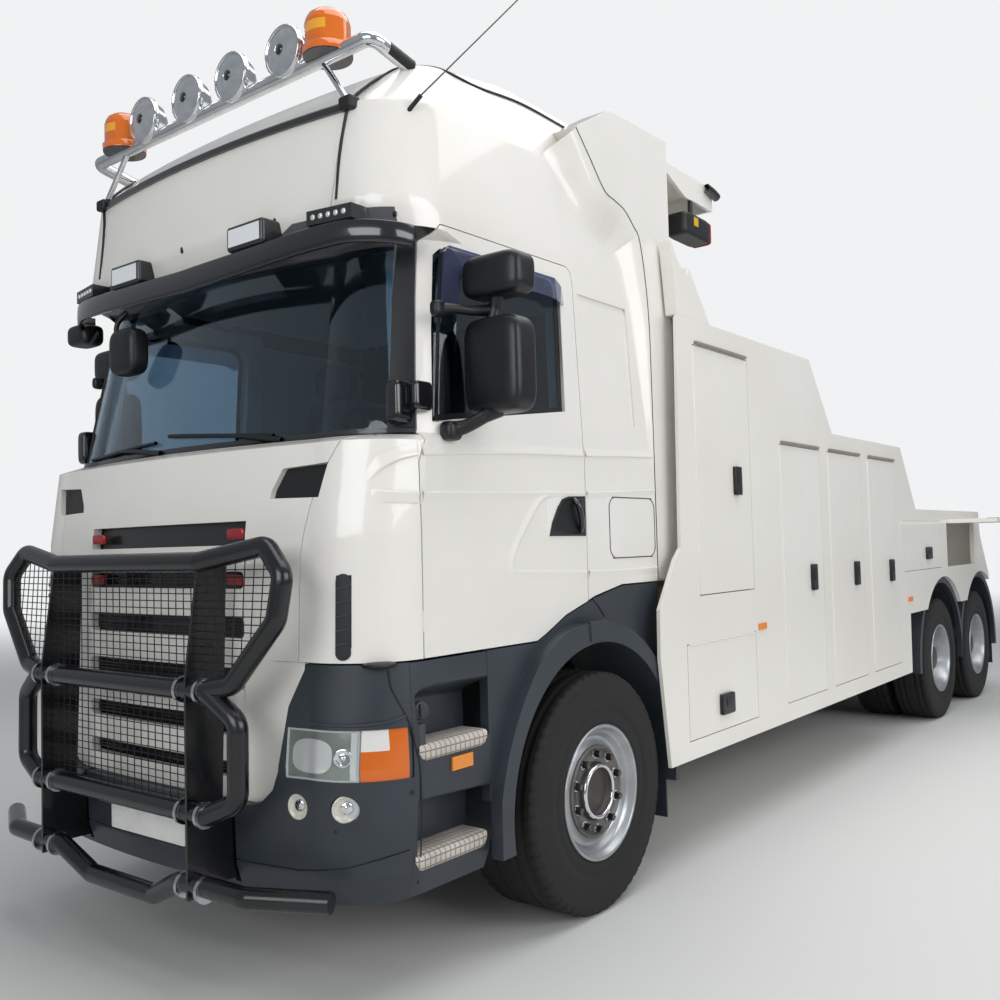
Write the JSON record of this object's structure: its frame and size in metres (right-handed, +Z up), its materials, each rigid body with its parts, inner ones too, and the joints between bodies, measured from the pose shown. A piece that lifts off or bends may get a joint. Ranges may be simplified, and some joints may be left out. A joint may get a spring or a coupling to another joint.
{
  "type": "heavy recovery tow truck",
  "caption": "Heavy recovery tow truck with a high sleeper cab, bull bar, locker body, lifting boom and underlift.",
  "frame": {"origin": "on the ground, under the middle of the whole length and width", "axes": "+X forward, +Y to the truck's left side, +Z up"},
  "size_m": [11.216, 3.4, 4.1122],
  "materials": {
    "white_paint": "gloss",
    "grey_plastic": "satin",
    "black_paint": "satin",
    "dark_steel": "satin",
    "engine_iron": "matte",
    "glass": "gloss",
    "lamp": "gloss",
    "tread_aluminium": "satin",
    "chrome": "gloss",
    "cabin_fabric": "matte",
    "boom_paint": "satin",
    "bright_steel": "satin",
    "tyre": "matte"
  },
  "bodies": {
    "truck": {"chassis_frame": "black_paint", "axles": "dark_steel", "engine": "engine_iron", "cab_shell": "white_paint", "cab_roof": "white_paint", "cab_front": "white_paint", "grille": "white_paint", "windscreen": "glass", "sun_visor": "black_paint", "cab_fairings": "white_paint", "cab_interior": "cabin_fabric", "bumper": "grey_plastic", "road_lamps": "lamp", "step_treads": "tread_aluminium", "mudguards": "grey_plastic", "bull_bar": "black_paint", "bull_bar_mesh": "dark_steel", "light_bar": "chrome", "auxiliary_lamps": "lamp", "lockers_left": "white_paint", "lockers_right": "white_paint", "headboard": "white_paint", "deck": "tread_aluminium", "winches": "bright_steel"},
    "door_left": {"door_left": "white_paint", "door_glass_left": "glass", "mirrors_left": "black_paint"},
    "locker_tall_left": {"locker_tall_left": "white_paint"},
    "locker_flap_left": {"locker_flap_left": "white_paint"},
    "locker_second_left": {"locker_second_left": "white_paint"},
    "locker_third_left": {"locker_third_left": "white_paint"},
    "locker_fourth_left": {"locker_fourth_left": "white_paint"},
    "locker_rear_flap_left": {"locker_rear_flap_left": "white_paint"},
    "locker_tail_flap_left": {"locker_tail_flap_left": "white_paint"},
    "knuckle_left": {"knuckle_left": "dark_steel"},
    "front_wheel_left": {"front_wheel_left": "tyre"},
    "drive_wheel_left": {"drive_wheel_left": "tyre"},
    "tag_wheel_left": {"tag_wheel_left": "tyre"},
    "door_right": {"door_right": "white_paint", "door_glass_right": "glass", "mirrors_right": "black_paint"},
    "locker_tall_right": {"locker_tall_right": "white_paint"},
    "locker_flap_right": {"locker_flap_right": "white_paint"},
    "locker_second_right": {"locker_second_right": "white_paint"},
    "locker_third_right": {"locker_third_right": "white_paint"},
    "locker_fourth_right": {"locker_fourth_right": "white_paint"},
    "locker_rear_flap_right": {"locker_rear_flap_right": "white_paint"},
    "locker_tail_flap_right": {"locker_tail_flap_right": "white_paint"},
    "knuckle_right": {"knuckle_right": "dark_steel"},
    "front_wheel_right": {"front_wheel_right": "tyre"},
    "drive_wheel_right": {"drive_wheel_right": "tyre"},
    "tag_wheel_right": {"tag_wheel_right": "tyre"},
    "boom": {"boom": "boom_paint"},
    "boom_extension": {"boom_extension": "bright_steel"},
    "lift_barrels": {"lift_barrels": "boom_paint"},
    "lift_rods": {"lift_rods": "bright_steel"},
    "underlift_arm": {"underlift_arm": "boom_paint"},
    "underlift_slide": {"underlift_slide": "bright_steel"},
    "underlift_crossbar": {"underlift_crossbar": "bright_steel"}
  },
  "joints": [
    {"name": "door_left_hinge", "type": "hinge", "parent": "truck", "child": "door_left", "pos_m": [5.05, 1.191, 1.9], "axis": [0, 0, -1], "range_deg": [0, 75]},
    {"name": "locker_tall_left_hinge", "type": "hinge", "parent": "truck", "child": "locker_tall_left", "pos_m": [3.004, 1.275, 2.0135], "axis": [0, 0, -1], "range_deg": [0, 100]},
    {"name": "locker_flap_left_hinge", "type": "hinge", "parent": "truck", "child": "locker_flap_left", "pos_m": [2.75, 1.275, 1.106], "axis": [1, 0, 0], "range_deg": [0, 90]},
    {"name": "locker_second_left_hinge", "type": "hinge", "parent": "truck", "child": "locker_second_left", "pos_m": [1.888, 1.275, 1.4275], "axis": [0, 0, -1], "range_deg": [0, 100]},
    {"name": "locker_third_left_hinge", "type": "hinge", "parent": "truck", "child": "locker_third_left", "pos_m": [1.068, 1.275, 1.4275], "axis": [0, 0, -1], "range_deg": [0, 100]},
    {"name": "locker_fourth_left_hinge", "type": "hinge", "parent": "truck", "child": "locker_fourth_left", "pos_m": [0.243, 1.275, 1.4275], "axis": [0, 0, -1], "range_deg": [0, 100]},
    {"name": "locker_rear_flap_left_hinge", "type": "hinge", "parent": "truck", "child": "locker_rear_flap_left", "pos_m": [-1.141, 1.275, 1.755], "axis": [1, 0, 0], "range_deg": [0, 90]},
    {"name": "locker_tail_flap_left_hinge", "type": "hinge", "parent": "truck", "child": "locker_tail_flap_left", "pos_m": [-2.403, 1.275, 1.77], "axis": [1, 0, 0], "range_deg": [-90, 0]},
    {"name": "steer_left", "type": "hinge", "parent": "truck", "child": "knuckle_left", "pos_m": [3.947, 0.93, 0.53], "axis": [0, 0, 1], "range_deg": [-38, 38]},
    {"name": "front_wheel_left_spin", "type": "hinge", "parent": "knuckle_left", "child": "front_wheel_left", "pos_m": [3.947, 1.05, 0.53], "axis": [0, 1, 0], "continuous": true},
    {"name": "drive_wheel_left_spin", "type": "hinge", "parent": "truck", "child": "drive_wheel_left", "pos_m": [-1.753, 0.9, 0.53], "axis": [0, 1, 0], "continuous": true},
    {"name": "tag_wheel_left_spin", "type": "hinge", "parent": "truck", "child": "tag_wheel_left", "pos_m": [-3.103, 0.9, 0.53], "axis": [0, 1, 0], "continuous": true},
    {"name": "door_right_hinge", "type": "hinge", "parent": "truck", "child": "door_right", "pos_m": [5.05, -1.191, 1.9], "axis": [0, 0, 1], "range_deg": [0, 75]},
    {"name": "locker_tall_right_hinge", "type": "hinge", "parent": "truck", "child": "locker_tall_right", "pos_m": [3.004, -1.275, 2.0135], "axis": [0, 0, 1], "range_deg": [0, 100]},
    {"name": "locker_flap_right_hinge", "type": "hinge", "parent": "truck", "child": "locker_flap_right", "pos_m": [2.75, -1.275, 1.106], "axis": [-1, 0, 0], "range_deg": [0, 90]},
    {"name": "locker_second_right_hinge", "type": "hinge", "parent": "truck", "child": "locker_second_right", "pos_m": [1.888, -1.275, 1.4275], "axis": [0, 0, 1], "range_deg": [0, 100]},
    {"name": "locker_third_right_hinge", "type": "hinge", "parent": "truck", "child": "locker_third_right", "pos_m": [1.068, -1.275, 1.4275], "axis": [0, 0, 1], "range_deg": [0, 100]},
    {"name": "locker_fourth_right_hinge", "type": "hinge", "parent": "truck", "child": "locker_fourth_right", "pos_m": [0.243, -1.275, 1.4275], "axis": [0, 0, 1], "range_deg": [0, 100]},
    {"name": "locker_rear_flap_right_hinge", "type": "hinge", "parent": "truck", "child": "locker_rear_flap_right", "pos_m": [-1.141, -1.275, 1.755], "axis": [-1, 0, 0], "range_deg": [0, 90]},
    {"name": "locker_tail_flap_right_hinge", "type": "hinge", "parent": "truck", "child": "locker_tail_flap_right", "pos_m": [-2.403, -1.275, 1.77], "axis": [-1, 0, 0], "range_deg": [-90, 0]},
    {"name": "steer_right", "type": "hinge", "parent": "truck", "child": "knuckle_right", "pos_m": [3.947, -0.93, 0.53], "axis": [0, 0, 1], "range_deg": [-38, 38]},
    {"name": "front_wheel_right_spin", "type": "hinge", "parent": "knuckle_right", "child": "front_wheel_right", "pos_m": [3.947, -1.05, 0.53], "axis": [0, 1, 0], "continuous": true},
    {"name": "drive_wheel_right_spin", "type": "hinge", "parent": "truck", "child": "drive_wheel_right", "pos_m": [-1.753, -0.9, 0.53], "axis": [0, 1, 0], "continuous": true},
    {"name": "tag_wheel_right_spin", "type": "hinge", "parent": "truck", "child": "tag_wheel_right", "pos_m": [-3.103, -0.9, 0.53], "axis": [0, 1, 0], "continuous": true},
    {"name": "boom_lift", "type": "hinge", "parent": "truck", "child": "boom", "pos_m": [1.497, 0, 1.63], "axis": [0, 1, 0], "range_deg": [0, 38]},
    {"name": "boom_extend", "type": "slide", "parent": "boom", "child": "boom_extension", "axis": [-1, 0, 0], "range_m": [0, 1.5]},
    {"name": "lift_barrels_hinge", "type": "hinge", "parent": "truck", "child": "lift_barrels", "pos_m": [0.747, 0, 1.2], "axis": [0, 1, 0], "range_deg": [0, 45.8]},
    {"name": "lift_rods_slide", "type": "slide", "parent": "lift_barrels", "child": "lift_rods", "axis": [-0.9889, 0, 0.1483], "range_m": [0, 0.4714]},
    {"name": "underlift_tilt", "type": "hinge", "parent": "truck", "child": "underlift_arm", "pos_m": [-3.753, 0, 0.89], "axis": [0, 1, 0], "range_deg": [-4, 12]},
    {"name": "underlift_extend", "type": "slide", "parent": "underlift_arm", "child": "underlift_slide", "axis": [-1, 0, 0], "range_m": [0, 0.8]},
    {"name": "crossbar_swivel", "type": "hinge", "parent": "underlift_slide", "child": "underlift_crossbar", "pos_m": [-5.113, 0, 0.45], "axis": [0, 0, 1], "range_deg": [-25, 25]}
  ],
  "couplings": [
    {"joint": "steer_right", "follows": "steer_left", "ratio": 1},
    {"joint": "lift_barrels_hinge", "follows": "boom_lift", "ratio": 1.205},
    {"joint": "lift_rods_slide", "follows": "boom_lift", "m_per_rad": 0.71}
  ]
}
